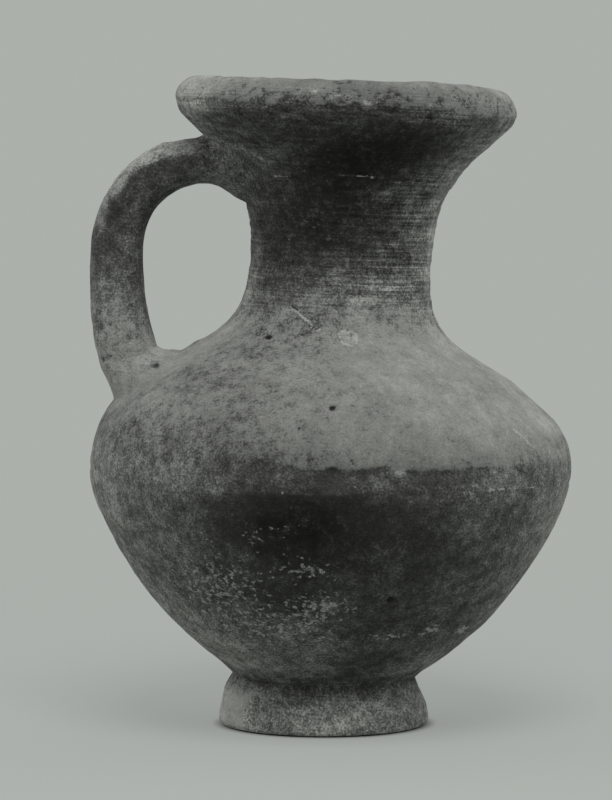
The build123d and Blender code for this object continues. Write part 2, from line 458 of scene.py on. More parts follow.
# Depths of the wheel's rings all over, on the bowl and on the neck, then steps of the wear
NECK_AREA = dict(rise=(118, 132), drop=(178, 190))
WIDE_DEPTHS = (dict(weight=0.06), dict(weight=0.1, drop=(60, SEAM_HEIGHT)), dict(weight=0.05, **NECK_AREA))
FINE_DEPTHS = (dict(weight=0.015), dict(weight=0.12, **NECK_AREA))
DEPOSIT_STEP = 0.45
CRUST_STEP = 0.3
WAIST_FILLET = 0.7
SEAM_GROOVE = 0.3
FLARE_LEDGE = 0.35


def deposit_edge(points):
    """Ragged lower edge of the pale deposit on the shoulder, as a height."""
    angle, half_width, length = DEPOSIT_TONGUE
    tongue = length * hump(arc_from(points, angle), 0, half_width)
    return DEPOSIT_EDGE + lumps(points * LEVEL, DEPOSIT_RAGS) - tongue


def lip_crust(points):
    """1 where the pale crust covers the lip, over its ragged edge."""
    edge = CRUST_EDGE + lumps(points * LEVEL, CRUST_RAGS) + areas(points, CRUST_DRAWN_UP)
    return ramp(points[..., 2] - edge, -0.3, 0.6)


def built_up(points):
    """Height of the deposit, the flare's ledge, the lip's crust and the waist's fillet."""
    height = points[..., 2]
    deposit = band(height - deposit_edge(points), rise=(-0.5, 0.5), drop=(0, 9))
    ledge = band(height - FLARE_EDGE_HEIGHT, rise=(-0.6, 0.4), drop=(0, 7))
    ledge = FLARE_LEDGE * ledge * (0.7 + 0.6 * noise(points, 13, 7))
    crust = lip_crust(points) * area(points, CRUST_STEP, drop=(191, 197))
    fillet = area(points, WAIST_FILLET, at=(FOOT_HEIGHT - 0.5, 1.8))
    return deposit * area(points, DEPOSIT_STEP, side=(-70, 55)) + ledge + crust + fillet


def weathering(points):
    """How far the worn outer skin stands out from the turned one."""
    worn = lumps(points, SKIN_LUMPS) + built_up(points)
    worn = worn + noise(points, WIDE_RING_SIZE, 4) * areas(points, WIDE_DEPTHS)
    worn = worn + noise(points, FINE_RING_SIZE, 5) * areas(points, FINE_DEPTHS)
    worn = worn + lumps(points, LIP_LUMPS) * area(points, rise=(184, 191))
    worn = worn + lumps(points, FOOT_LUMPS) * area(points, drop=(FOOT_HEIGHT - 2, FOOT_HEIGHT + 3))
    worn = worn + spots(points, SWELLS) - spots(points, PITS + DARK_LIP_CHIPS + LIP_CHIPS)
    worn = worn - area(points, SEAM_GROOVE, at=(SEAM_HEIGHT, 0.8)) * (0.6 + 0.8 * noise(points, 11, 6))
    worn = worn + SCRATCH_RIDGE * scratches(points, SCRATCHES) - CRACK_DEPTH * scratches(points, CRACKS)
    return worn * area(points, rise=(0, 2.5))


def smoothed_inside(points):
    """The same for the inside, which kept the ribs of the potter's fingers."""
    return lumps(points, INSIDE_LUMPS)


def unworn(points):
    """The same for the hidden faces under the foot, which stay plain."""
    return np.zeros(points.shape[:-1])


# Meshes

ANGLES = np.linspace(-pi, pi, COLUMNS, endpoint=False)


def turned_rings(line, step, wear, side):
    """Worn rings round the axis along a wall line. Side -1 is the inside."""
    points, normals = spaced(line, step)
    spin = np.stack([np.cos(ANGLES), np.sin(ANGLES)], 1)

    def around(flat):
        height = np.repeat(flat[:, None, 1:], COLUMNS, 1)
        return np.concatenate([flat[:, None, :1] * spin[None], height], -1)

    rings = around(points)
    return rings + around(normals * side) * wear(rings)[..., None]


def joint_rings(start, end):
    """Rings across a flat joint face between two edges."""
    shares = np.linspace(0, 1, JOINT_RINGS + 2)[1:-1, None, None]
    return start + (end - start) * shares


def grid_faces(rows, columns, closed):
    """Quads of a grid that wraps round its columns and, if closed, its rows."""
    row = np.arange(rows if closed else rows - 1)[:, None] * columns
    above = (row + columns) % (rows * columns)
    column = np.arange(columns)[None]
    across = (column + 1) % columns
    corners = (row + column, row + across, above + across, above + column)
    return np.stack(np.broadcast_arrays(*corners), -1).reshape(-1, 4).tolist()


def fan_faces(first, columns, pole, flip):
    """Triangles from a ring's points to a pole."""
    ring = [(first + k, first + (k + 1) % columns) for k in range(columns)]
    return [(b, a, pole) if flip else (a, b, pole) for a, b in ring]


def skin(name, zones, rings, poles=None):
    """A closed mesh from rings of upright points, with its zones stored on it."""
    rows, columns = rings.shape[:2]
    points = rings.reshape(-1, 3)
    faces = grid_faces(rows, columns, poles is None)
    if poles is not None:
        last = len(points)
        points = np.vstack([points, poles])
        faces += fan_faces(0, columns, last, True)
        faces += fan_faces((rows - 1) * columns, columns, last + 1, False)
    mesh = bpy.data.meshes.new(name)
    mesh.from_pydata(leaned(points).tolist(), [], faces)
    mesh.shade_smooth()
    mesh.set_sharp_from_angle(angle=radians(SHARP_ANGLE))
    rest = mesh.attributes.new("rest", "FLOAT_VECTOR", "POINT")
    rest.data.foreach_set("vector", (points * MM).ravel())
    for key, values in zones(points).items():
        mesh.attributes.new(key, "FLOAT", "POINT").data.foreach_set("value", values)
    piece = bpy.data.objects.new(name, mesh)
    bpy.context.scene.collection.objects.link(piece)
    return piece


# Zones of colour

# Flaked spot: height, angle, half height and half width
FLAKE = (122.9, -84.5, 2.5, 3.1)
# Fields of white specks: height, angle, half height, half width and how thick they lie
SPECK_FIELDS = (
    (44, -90, 4, 10, 1.12), (40, -97.5, 2.5, 6, 0.5), (68.5, -100.5, 1, 6, 0.9),
    (65, -107, 3, 7, 0.6), (55.5, -95, 3.5, 9, 1), (81, -84, 1.2, 15, 0.8),
    (47, -121, 14, 21, 0.82), (152, -103, 10, 18, 0.3), (10, -100, 6, 30, 0.5),
    (34, -101, 5, 15, 0.68), (33.6, -67, 1.6, 9, 1.1), (34.9, -50.5, 2, 4, 1.3),
    (33.7, -33.5, 1.6, 3.2, 2.2), (40.7, -26.5, 1.1, 1.8, 1.5), (60, -38, 9, 9, 0.4),
)
# Smooth pale smears by the handle, a pale patch over the foot and a drip at the deposit's edge
SMEARS = ((105, -170, 8, 26, 0.6), (120, -163, 8, 16, 0.6))
BOWL_PATCH = (20, -146, 2.6, 3.6)
DRIP = (85.6, -74.6, 1.3, 2.5)
# Soot and painted shade: height, angle, half height, half width in degrees, slant in degrees per mm, stops
# darker
# Soot on the lower belly, which is also painted shade at the front, where the wall turns down from the
# light
BELLY_SOOT_AND_SHADE = (
    (69, -100, 15, 17, 0, 2.35), (56, -113, 8, 11, 0, 0.35), (60, -76, 40, 32, -0.4, 1.75),
    (24, -78, 5, 14, 0, 1.15), (35, -78, 8, 8, 0, 0.8), (28, -56, 7, 16, 0, 0.6),
    (50, -128, 16, 24, 0, 0.75), (45, -102, 7, 12, 0, 1.05), (76, -73, 3, 10, 0, 0.4),
    (73.5, -126, 3.5, 12, 0, 0.7), (70.5, -87, 5, 6, 0, -0.4), (45, -59, 6, 8, 0, -0.25),
    (39, -40, 6, 6, 0, 0.6), (76, -42, 10, 16, 0, 0.45),
)
# Soot on the neck and under the flare, which is also painted shade: the lip's shadow on the neck and the
# shade under the flare
NECK_SOOT_AND_SHADE = (
    (168, -90, 19, 42, 0.5, 2.4), (150, -114, 12, 44, 0, 0.97), (182, -65, 8, 32, 0, 1.9),
    (177.5, -118, 4, 12, 0, -0.7), (185.5, -127, 6, 16, 0, 0.8), (156, -66, 5, 22, 0, 0.5),
    (152, -130, 8, 10, 0, -0.5), (137, -134, 4, 12, 0, 0.6), (186, -44, 3, 12, 0, 0.5),
    (190.6, -60, 2.4, 17, 0, -1.25), (183, -97, 4, 10, 0, -0.4), (150, -38, 8, 8, 0, 0.25),
    (160, -140, 16, 22, 0, 0.5), (177, -82, 5, 26, 0, 0.85), (166, -72, 5, 14, 0, -0.5),
    (152, -66, 12, 32, 0, 0.25),
)
# Light places, in stops lighter. The rows towards the left edge, at angles -160 to -172, and towards the
# right edge, at -8 to -20, are painted rim light on the silhouettes; the row at height 197 is painted light
# on the lip's upward-facing crown
LIGHT_PLACES_AND_RIM_LIGHT = (
    (90, -172, 60, 24, 0, 0.5), (130, -160, 12, 24, 0, 0.8), (80, -8, 14, 14, 0, 0.3),
    (58, -8, 22, 20, 0, 0.3), (124, -32, 8, 26, 0, 0.45), (37, -97, 4, 12, 0, 0.3),
    (105, -172, 12, 18, 0, 0.4), (105, -58, 10, 22, 0, 0.3), (98, -90, 14, 24, 0, -0.25),
    (101, -114, 7, 16, 0, -0.35), (42, -162, 8, 18, 0, 0.3), (84, -168, 6, 16, 0, 0.35),
    (72, -20, 12, 8, 0, 0.35), (152, -17, 20, 9, 0, 0.5), (197, -92, 2.5, 24, 0, 0.25),
)
# Zones of the wall: a part or a mark of it, its weight and the area that the row keeps to
FOOT = dict(drop=(FOOT_HEIGHT - 6, FOOT_HEIGHT - 1))
LIP = dict(rise=(186, 192))
TONE_ROWS = (
    ("all", 0.75, FOOT),
    # Painted light on the foot's left side
    ("all", 0.4, dict(side=(-155, 26), **FOOT)),
    ("all", -0.7, dict(side=(-122, 19), **FOOT)),
    # Painted shade on the foot's right side
    ("all", -0.9, dict(side=(-25, 35), **FOOT)),
    ("foot_patch", 0.35, FOOT),
    # Painted shade in the crease of the foot's waist
    ("all", -1.25, dict(at=(FOOT_HEIGHT + 0.5, 3.4))),
    ("all", -0.8, LIP),
    # Painted rim light on the lip's left side
    ("all", 1.8, dict(side=(-157, 34), **LIP)),
    ("all", 0.55, dict(side=(-20, 36), **LIP)),
    ("covered", 0.5, dict(side=(-10, 40))),
    ("covered", -0.5, dict(side=(-130, 25))),
    ("covered", -0.75, dict(drop=(87, 102))),
    ("bare", -0.2, {}),
    ("bare", -1.2, dict(side=(-95, 28))),
    ("bare", -0.5, dict(side=(-60, 14))),
    # Soot on the lower belly, and painted shade where the wall turns down under the seam
    ("edged_soot_and_shade", -0.45, dict(at=(69, 9), side=(-100, 17))),
    ("belly_soot_and_shade", -1, dict(rise=(FOOT_HEIGHT, FOOT_HEIGHT + 4))),
    # Soot on the neck and the flare, and painted shade under the lip
    ("neck_soot_and_shade", -1, {}),
    # Lighter places, with painted rim light at the left and right edges and painted light on the lip's
    # crown
    ("light_places_and_rim_light", 1, {}),
    ("mottling", 1, {}),
    ("back_mottling", 1, {}),
    ("back_mottling", -1, dict(side=(-80, 80))),
    ("bowl_patch", 0.9, {}),
    # Painted highlight along the upper pad's edge
    ("crease", 0.6, {}),
    ("scraped", 1.2, {}),
)
DEPOSIT_ROWS = (
    ("deposit", 0.26, {}),
    ("deposit", 0.1, dict(rise=(87, 102))),
    ("deposit", 0.62, dict(side=(-48, 68))),
    ("smears", 1, {}),
)
CRUST_ROWS = (
    ("crust", 0.5, {}),
    # Paler crust on the lip's left, with painted rim light there
    ("crust", 0.3, dict(side=(-155, 36))),
    ("crust", 0.1, dict(side=(-66, 30))),
    # Painted light on the lip's crown, which faces up
    ("crust", 0.45, dict(rise=(195.5, 199))),
    ("crust_lumps", 1, {}),
)
PATCH_ROWS = (
    ("foot_patch", 1.1, {}),
    ("bowl_patch", 0.9, {}),
    ("drip", 1.2, {}),
)
SPECK_ROWS = (
    ("all", 0.15, {}),
    ("below", 0.25, dict(side=(-130, 40))),
    ("specks", 1, {}),
)
NECK_LINES = dict(rise=(128, 138), drop=(172, 180))
STREAK_ROWS = (
    ("all", 0.3, {}),
    ("all", 0.7, dict(rise=(112, 130))),
    ("all", 0.4, dict(drop=(40, 55))),
    ("all", 0.8, dict(at=(190.6, 3), side=(-60, 20))),
    ("all", 0.65, dict(side=(-52, 34), **NECK_LINES)),
    ("all", -0.5, dict(side=(-8, 16), **NECK_LINES)),
)
BRIGHT_ROWS = (
    ("flake", 1, {}),
    ("scratched", 1, {}),
    ("drip", 0.75, {}),
    ("broken_scraped", 0.75, {}),
    # Painted highlight along the upper pad's edge, broken
    ("broken_crease", 0.8, {}),
    ("broken_seam", 1.3, dict(side=(-48, 28))),
    ("crust_flakes", 0.62, dict(drop=(196, 199), side=(-84, 34))),
)
DARK_ROWS = (
    # Painted shade in the pits, the lip's chips and the cracks
    ("pits", 1, {}),
    ("chips", 0.5, {}),
    ("cracks", 0.6, {}),
    # Painted shadow along the foot's lowest edge, where it meets the floor
    ("all", 0.8, dict(at=(0, 0.5))),
)
# Layers of noise in the tones: amount, size of the lumps and seed
MOTTLING = ((0.3, 24, 42), (0.38, (6.5, 6.5, 4.0625), 55))
CRUST_LUMPS = ((0.5, (4.5, 4.5, 2.5), 46), (0.85, (1.5, 1.5, 1), 56))
CRUST_FLAKE_SIZE = (2.8, 2.8, 1.75)
# Edge of the soot and painted shade on the belly: its rise over the seam, its tilt and the angle it tilts
# round
SOOT_AND_SHADE_LINE_RISE = 0.3
SOOT_AND_SHADE_LINE_TILT = 2.4
SOOT_AND_SHADE_LINE_ANGLE = -80
SEAM_WIDTH = 0.45
# The upright edge of the soot and painted shade comes in between two angles
SOOT_AND_SHADE_SIDE_EDGE = (-110, -106.5)
# The deposit's edge is sharp in front and softens between two angles to each side
DEPOSIT_FRONT_ANGLE = -73
DEPOSIT_SIDES = (22, 48)
SHARP_EDGE = 0.6
SOFT_EDGE = 11
FOOT_PATCH_EDGE = -141
# Lines scraped under the flare: drop under its edge and seed
SCRAPED_LINES = ((-2.9, 49), (-1.4, 50), (2, 51), (4.2, 52), (6.5, 53))
SCRAPED_WIDTH = 0.35
DASH_SIZE = 5
CREASE_WIDTH = 0.06
FLAKE_MIDDLE = 0.54
FLAKE_RIM = 0.3


def tone_marks(points, marks):
    """Stops that a list of tone marks adds at each point: soot, painted shade and painted light."""
    height = points[..., 2]
    total = np.zeros_like(height)
    for middle, angle, half_height, reach, slant, stops in marks:
        turned = angle + slant * (height - middle)
        total = total + stops * hump(height, middle, half_height) * facing(points, turned, reach)
    return total


def soot_and_shade_line(points):
    """Height of the upper edge of the belly's soot and painted shade, close to its seam."""
    tilt = SOOT_AND_SHADE_LINE_TILT * np.sin(np.radians(turn_from(points, SOOT_AND_SHADE_LINE_ANGLE)))
    return SEAM_HEIGHT + SOOT_AND_SHADE_LINE_RISE + tilt + 0.7 * noise(points * LEVEL, 12, 41)


def deposit_cover(points):
    """1 on the part of the wall that is over the deposit's edge."""
    off_front = ramp(np.abs(turn_from(points, DEPOSIT_FRONT_ANGLE)), *DEPOSIT_SIDES)
    softness = SHARP_EDGE + SOFT_EDGE * off_front
    return ramp((points[..., 2] - deposit_edge(points)) / softness, -0.7, 1)


def flake(points, mark):
    """Brightness of a flaked spot: a broken rim round a paler middle."""
    height, angle, half_height, half_width = mark
    across = arc_from(points, angle) / half_width
    away = np.hypot(across, (points[..., 2] - height) / half_height) + 0.14 * noise(points, 2.4, 48)
    return FLAKE_MIDDLE * fall(away, 0.9, 1.05) + FLAKE_RIM * hump(away, 0.95, 0.16)


def foot_patch(points):
    """1 on the pale patch at the left of the foot, up to its sharp edge."""
    patch = area(points, at=(7, 6.5), side=(FOOT_PATCH_EDGE - 10, 22))
    return patch * fall(upright_angle(points) - FOOT_PATCH_EDGE, -0.9, 0.9)


def scraped_lines(points):
    """Thin broken lines that the potter's tool left under the flare."""
    total = 0
    for drop, seed in SCRAPED_LINES:
        dashes = ramp(noise(points * LEVEL, DASH_SIZE, seed), 0, 0.5)
        total = total + area(points, at=(FLARE_EDGE_HEIGHT - drop, SCRAPED_WIDTH)) * dashes
    return total * area(points, side=(-84, 46))


def pad_crease(points):
    """1 along the upper edge of the upper pad, where the flare was scraped; the bright line there is a
    painted highlight for light caught by the pad's edge.
    """
    turn = turn_from(points, HANDLE_ANGLE) / UPPER_FOOT_HALF_ANGLE
    rise = (points[..., 2] - UPPER_FOOT_HEIGHT) / UPPER_FOOT_REACH
    return hump(np.hypot(turn, rise), 1, CREASE_WIDTH) * ramp(rise, -0.1, 0.2)


def wall_parts(points):
    """How much of each part and mark of the wall is at each point."""
    below = ramp(soot_and_shade_line(points) - points[..., 2], -0.3, 0.5)
    covered = deposit_cover(points)
    deposit = covered * area(points, drop=(116, 140))
    crust = lip_crust(points)
    scraped = scraped_lines(points)
    crease = pad_crease(points)
    worn = 0.5 + 0.5 * noise(points, 1.6, 44)
    return dict(
        all=1,
        below=below,
        covered=covered,
        bare=(1 - below) * (1 - covered),
        edged_soot_and_shade=below * ramp(upright_angle(points), *SOOT_AND_SHADE_SIDE_EDGE),
        belly_soot_and_shade=below * tone_marks(points, BELLY_SOOT_AND_SHADE),
        neck_soot_and_shade=tone_marks(points, NECK_SOOT_AND_SHADE),
        light_places_and_rim_light=tone_marks(points, LIGHT_PLACES_AND_RIM_LIGHT),
        mottling=lumps(points, MOTTLING),
        back_mottling=0.3 * noise(points, 60, 47),
        deposit=deposit,
        smears=deposit * spots(points, SMEARS),
        crust=crust,
        crust_lumps=crust * lumps(points, CRUST_LUMPS),
        crust_flakes=crust * ramp(noise(points, CRUST_FLAKE_SIZE, 54), 0.1, 0.5),
        foot_patch=foot_patch(points),
        bowl_patch=spot(points, BOWL_PATCH),
        drip=spot(points, DRIP),
        specks=spots(points, SPECK_FIELDS),
        scraped=scraped,
        crease=crease,
        broken_scraped=scraped * worn,
        broken_crease=crease * worn,
        broken_seam=band(points[..., 2], at=(soot_and_shade_line(points), SEAM_WIDTH)) * worn,
        scratched=scratches(points, SCRATCHES) * (0.3 + 0.95 * worn),
        flake=flake(points, FLAKE),
        pits=sum(spot(points, mark) for mark in PITS),
        chips=sum(spot(points, mark) for mark in DARK_LIP_CHIPS),
        cracks=scratches(points, CRACKS),
    )


def vessel_zones(points):
    """The wall's tone, pale cover, specks, streaks, bright marks and hollows."""
    parts = wall_parts(points)

    def zone(rows):
        return sum(parts[part] * area(points, weight, **where) for part, weight, where in rows)

    pale = np.maximum(np.maximum(zone(DEPOSIT_ROWS), zone(CRUST_ROWS)), zone(PATCH_ROWS))
    zones = dict(tone=TONE_ROWS, specks=SPECK_ROWS, streaks=STREAK_ROWS, bright=BRIGHT_ROWS, dark=DARK_ROWS)
    return {key: zone(rows) for key, rows in zones.items()} | {"pale": pale}


# The turned pieces, each as its rings and, where it is closed by caps, their two poles


def outside_rings(line, step):
    """Rings of the worn outer skin along a wall line."""
    return turned_rings(line, step, weathering, 1)


def inside_rings(low, high):
    """Rings of the inside between two joints, from the top down."""
    return turned_rings(between_joints(INNER, low, high), HIDDEN_STEP, smoothed_inside, -1)[::-1]


def between_two_joints(low, high, step):
    """Rings up the outside, over the joint, down the inside and back."""
    outside = outside_rings(between_joints(OUTER, low, high), step)
    inside = inside_rings(low, high)
    top = joint_rings(outside[-1], inside[0])
    bottom = joint_rings(inside[-1], outside[0])
    return np.concatenate([outside, top, inside, bottom])


def bowl():
    """The lower half of the body with its floor."""
    below = np.array([[0, BASE_HEIGHT], [BASE_RADIUS, BASE_HEIGHT], [FOOT_WAIST_RADIUS, FOOT_HEIGHT]])
    under = outside_rings(below, HIDDEN_STEP)
    outside = outside_rings(between_joints(OUTER[len(below) - 1:], None, BELLY_JOINT), SKIN_STEP)
    inside = inside_rings(None, BELLY_JOINT)
    rings = np.concatenate([under[1:-1], outside, joint_rings(outside[-1], inside[0]), inside[:-1]])
    return rings, np.array([[0, 0, BASE_HEIGHT], [0, 0, FLOOR_HEIGHT]])


def shoulder():
    """The upper half of the body up to the root of the neck."""
    return (between_two_joints(BELLY_JOINT, NECK_JOINT, SKIN_STEP),)


def neck():
    """The tube from the shoulder to the flare."""
    return (between_two_joints(NECK_JOINT, MOUTH_JOINT, FINE_STEP),)


def mouth():
    """The flaring funnel with its thick lip."""
    outside = outside_rings(between_joints(OUTER, MOUTH_JOINT, None), FINE_STEP)
    inside = turned_rings(between_joints(INNER, MOUTH_JOINT, None), SKIN_STEP, weathering, -1)[::-1]
    return (np.concatenate([outside, inside[1:], joint_rings(inside[-1], outside[0])]),)


def foot_ring():
    """The ring that the jug stands on, up to its seat under the bowl."""
    edge_centre = np.array([FOOT_RADIUS - FOOT_EDGE_ROUND, FOOT_EDGE_ROUND])
    edge = arc(edge_centre, FOOT_EDGE_ROUND, 180, 90)
    flank_run = np.array([FOOT_WAIST_RADIUS, FOOT_HEIGHT]) - edge[-1]
    flank_out = np.array([flank_run[1], -flank_run[0]]) / np.linalg.norm(flank_run)
    shares = np.linspace(0, 1, FLANK_POINTS)[:, None]
    flank = edge[-1] + flank_run * shares + flank_out * FOOT_FLANK_BULGE * 4 * shares * (1 - shares)
    seat_slope = (FOOT_HEIGHT - BASE_HEIGHT) / (FOOT_WAIST_RADIUS - BASE_RADIUS)
    recess_low = np.array([FOOT_RECESS_RADIUS, 0])
    recess_top_radius = FOOT_RECESS_RADIUS - FOOT_RECESS_TAPER * BASE_HEIGHT / FOOT_HEIGHT
    recess_top = BASE_HEIGHT + (recess_top_radius - BASE_RADIUS) * seat_slope
    recess_high = np.array([recess_top_radius, recess_top])
    outside = outside_rings(np.vstack([edge, flank]), FINE_STEP)
    under = turned_rings(np.vstack([recess_high, recess_low, edge[0]]), RECESS_STEP, unworn, 1)
    return (np.concatenate([outside, joint_rings(outside[-1], under[0]), under[:-1]]),)


# The handle


def handle_line():
    """The handle's centre line as (radius, height) points, and its lengths."""
    start = np.array([NECK_RADIUS - WALL, JUG_HEIGHT - HANDLE_TOP_DROP])
    side = np.array([HANDLE_REACH, HANDLE_SIDE_HEIGHT])
    landing = SHOULDER_TURN + (shoulder_break(0) - SHOULDER_TURN) * HANDLE_LANDING_SHARE
    arriving = heading(180 + HANDLE_LANDING_ANGLE)
    end = landing + arriving * LOWER_PAD_SINK
    leaving = heading(90 - HANDLE_LEAVING_ANGLE)
    bend_pulls = (HANDLE_BEND_FULLNESS, HANDLE_BEND_FULLNESS)
    landing_pulls = (HANDLE_BEND_FULLNESS, HANDLE_LANDING_FULLNESS)
    upper = hermite(start, side, leaving, heading(180), bend_pulls)
    lower = hermite(side, end, heading(180), arriving, landing_pulls)
    line = np.vstack([upper, lower[1:]])
    return line, lengths_along(line)


HANDLE_LINE, HANDLE_LENGTHS = handle_line()
STRAP_START = UPPER_PAD_LENGTH
STRAP_END = HANDLE_LENGTHS[-1] - LOWER_PAD_LENGTH
STRAP_TURNS = np.linspace(0, 2 * pi, STRAP_COLUMNS, endpoint=False)
STRAP_SQUARENESS = 2.8


def strap_frame(distance):
    """Point, direction and outer side at a distance along the handle."""
    at = np.array([np.interp(distance, HANDLE_LENGTHS, HANDLE_LINE[:, k]) for k in (0, 1)])
    tangents = np.gradient(HANDLE_LINE, HANDLE_LENGTHS, axis=0)
    along = np.array([np.interp(distance, HANDLE_LENGTHS, tangents[:, k]) for k in (0, 1)])
    along /= np.linalg.norm(along)
    return at, along, np.array([-along[1], along[0]])


def in_handle_plane(flat):
    """(radius, height) values on the handle's side as upright points."""
    return np.stack([-flat[..., 0], np.zeros_like(flat[..., 0]), flat[..., 1]], -1)


def squared(wave):
    """A sine wave filled out, so that the oval it draws has flatter sides."""
    return np.sign(wave) * np.abs(wave) ** (2 / STRAP_SQUARENESS)


def strap_ring(distance):
    """Ring round the strap, from its outer side over +Y and back."""
    share = np.clip((distance - STRAP_START) / (STRAP_END - STRAP_START), 0, 1)
    width = HANDLE_WIDTH + HANDLE_END_SPREAD * (2 * share - 1) ** 2
    thickness = HANDLE_TOP_THICKNESS + (HANDLE_FOOT_THICKNESS - HANDLE_TOP_THICKNESS) * share
    at, _, outer = strap_frame(distance)
    ring = in_handle_plane(at + np.outer(squared(np.cos(STRAP_TURNS)) * thickness / 2, outer))
    ring[:, 1] = squared(np.sin(STRAP_TURNS)) * width / 2
    return ring


def pushed_out(rings, amount):
    """A tube's rings moved along its normals."""
    along = np.gradient(rings, axis=0)
    around = np.roll(rings, -1, 1) - np.roll(rings, 1, 1)
    normal = np.cross(around, along)
    normal /= np.linalg.norm(normal, axis=-1)[..., None]
    return rings + normal * amount[..., None]


# Dents on the camera's side of the handle: distance out from the axis, height, reach and depth
HANDLE_DENTS = (
    (73.3, 121.4, 2.4, 0.6), (71.6, 115.3, 1.7, 0.35), (72, 111.3, 0.8, 0.7),
    (70.6, 112, 0.9, 0.7), (69.2, 112.5, 0.7, 0.5), (54.8, 110.7, 1, 1),
    (63.6, 118.5, 0.9, 0.6), (42.4, 180.2, 1, 0.4), (41.9, 178.4, 1, 0.4),
    (58.4, 179.6, 3, -0.9),
)
HANDLE_LUMPS = ((0.35, 15, 21), (0.18, 6, 22), (0.13, 2.4, 23))
PULLED_LINE_SIZE = 1.9
PULLED_LINE_STRETCH = 14
PULLED_LINE_DEPTH = 0.12
# How much the outer side is flattened, and the distances outward over which that comes in
FLATTENED = 0.4
FLATTENED_EDGE = (1, 6)


def dents(points):
    """Depth of the handle's dents at each point."""
    ragged = 1 + 0.6 * noise(points, 1.7, 25)
    total = np.zeros(points.shape[:-1])
    for out, height, reach, depth in HANDLE_DENTS:
        away = np.hypot(points[..., 0] + out, points[..., 2] - height)
        total = total + depth * hump(away * ragged, 0, reach)
    return total * fall(points[..., 1], -2, 2)


def strap_place(points):
    """How far points lie outward from the handle's centre line, and along it."""
    flat = np.stack([-points[..., 0], points[..., 2]], -1).reshape(-1, 2)
    line = HANDLE_LINE[::2]
    near = ((flat[:, None] - line[None]) ** 2).sum(-1).argmin(1)
    tangents = np.gradient(line, axis=0)
    outer = np.stack([-tangents[:, 1], tangents[:, 0]], 1) / np.linalg.norm(tangents, axis=1)[:, None]
    place = ((flat - line[near]) * outer[near]).sum(-1)
    return place.reshape(points.shape[:-1]), HANDLE_LENGTHS[::2][near].reshape(points.shape[:-1])


def pulled_lines(points):
    """Long ridges, -1 to 1, that the potter's hand left along the strap."""
    place, along = strap_place(points)
    drawn = np.stack([place, points[..., 1], along / PULLED_LINE_STRETCH], -1)
    return noise(drawn, PULLED_LINE_SIZE, 24)


def handle_wear(points):
    """How far the hand-smoothed handle stands out from its plain form."""
    place, _ = strap_place(points)
    flattened = area(points, FLATTENED, at=(131, 10)) * ramp(place, *FLATTENED_EDGE)
    ridges = PULLED_LINE_DEPTH * pulled_lines(points)
    return lumps(points, HANDLE_LUMPS) + ridges - dents(points) - flattened


def handle_strap():
    """The pulled strap between the two pads."""
    count = int((STRAP_END - STRAP_START) / SKIN_STEP)
    rings = np.array([strap_ring(d) for d in np.linspace(STRAP_START, STRAP_END, count)])
    rings = pushed_out(rings, handle_wear(rings))
    return rings, np.array([rings[0].mean(0), rings[-1].mean(0)])


# The wall's skin that the handle sits on, from the belly to just under the lip
SKIN_LINE = OUTER[(OUTER[:, 1] > BELLY_HEIGHT) & (OUTER[:, 1] < LIP_CENTRE[1] - LIP_ROUND * 0.7)]
# Distances outward from the centre line over which the strap's top, painted pale as painted light, comes in
# and the inside goes out
TOP_EDGE = (3.4, 5.4)
INSIDE_EDGE = (-4.6, -2.4)
# Stops of soot, how much fewer they are by the wall, and distances over which that goes out
HANDLE_SOOT = 1.3
WALL_SOOT_LOSS = 0.65
WALL_SOOT_DROP = (5, 18)
HANDLE_SPECKS = 0.35
HANDLE_STREAKS = 0.5
# Light place under the upper pad: distance out from the axis, height, reach and stops
UNDER_PAD = (41.5, 172, 5, 0.7)
# Distances from the wall over which its zones go out on the handle
LUTED_DROP = (0.5, 9)


def clear_of_wall(points):
    """Distance of points from the wall's plain skin, measured level."""
    return axis_distance(points) - np.interp(points[..., 2], SKIN_LINE[:, 1], SKIN_LINE[:, 0])


def strap_zones(points):
    """The zones of the handle's own clay, with painted light on its upper outer side and painted shade on
    its inner side.
    """
    place, _ = strap_place(points)
    outward = place + 1.4 * noise(points, 5, 45) + area(points, weight=1.6, rise=(168, 178))
    # Painted light on the strap's upper outer side, which faces the light from above
    top = ramp(outward, *TOP_EDGE) * area(points, rise=(145, 165))
    low = area(points, drop=(108, 152))
    inside = fall(place, *INSIDE_EDGE)
    # Painted shade on the strap's inner side, low down, where it faces the wall
    inner_shade = inside * area(points, rise=(113, 120), drop=(128, 146))
    soot = HANDLE_SOOT - WALL_SOOT_LOSS * fall(clear_of_wall(points), *WALL_SOOT_DROP)
    tone = 0.4 * noise(points, 16, 43) + 0.4 * pulled_lines(points) + 0.9 * low + 0.4 * top
    tone = tone - (1 - low) * (1 - top) * soot - 0.4 * inner_shade
    nothing = np.zeros_like(place)
    return dict(
        # Painted light on the strap's inner side, high up
        tone=tone + inside * area(points, weight=0.45, rise=(138, 152)),
        pale=0.04 + 0.65 * low**1.5 + 0.3 * top - 0.25 * inner_shade,
        specks=nothing + HANDLE_SPECKS,
        streaks=nothing + HANDLE_STREAKS,
        bright=nothing,
        dark=nothing,
    )


def handle_zones(points):
    """The handle's zones, which go over into the wall's where it is luted on."""
    own = strap_zones(points)
    wall = vessel_zones(points)
    luted = fall(clear_of_wall(points), *LUTED_DROP) * fall(points[..., 0], -5, 0)
    zones = {key: own[key] + (wall[key] - own[key]) * luted for key in own}
    out, height, reach, stops = UNDER_PAD
    under = hump(np.hypot(points[..., 0] + out, points[..., 2] - height), 0, reach)
    # Painted shade in the handle's dents: they are painted darker and less pale
    hollows = np.maximum(dents(points), 0)
    zones["tone"] = zones["tone"] - 1.3 * hollows + stops * under
    zones["pale"] = zones["pale"] - 0.9 * hollows
    zones["dark"] = zones["dark"] + 0.55 * hollows
    return zones


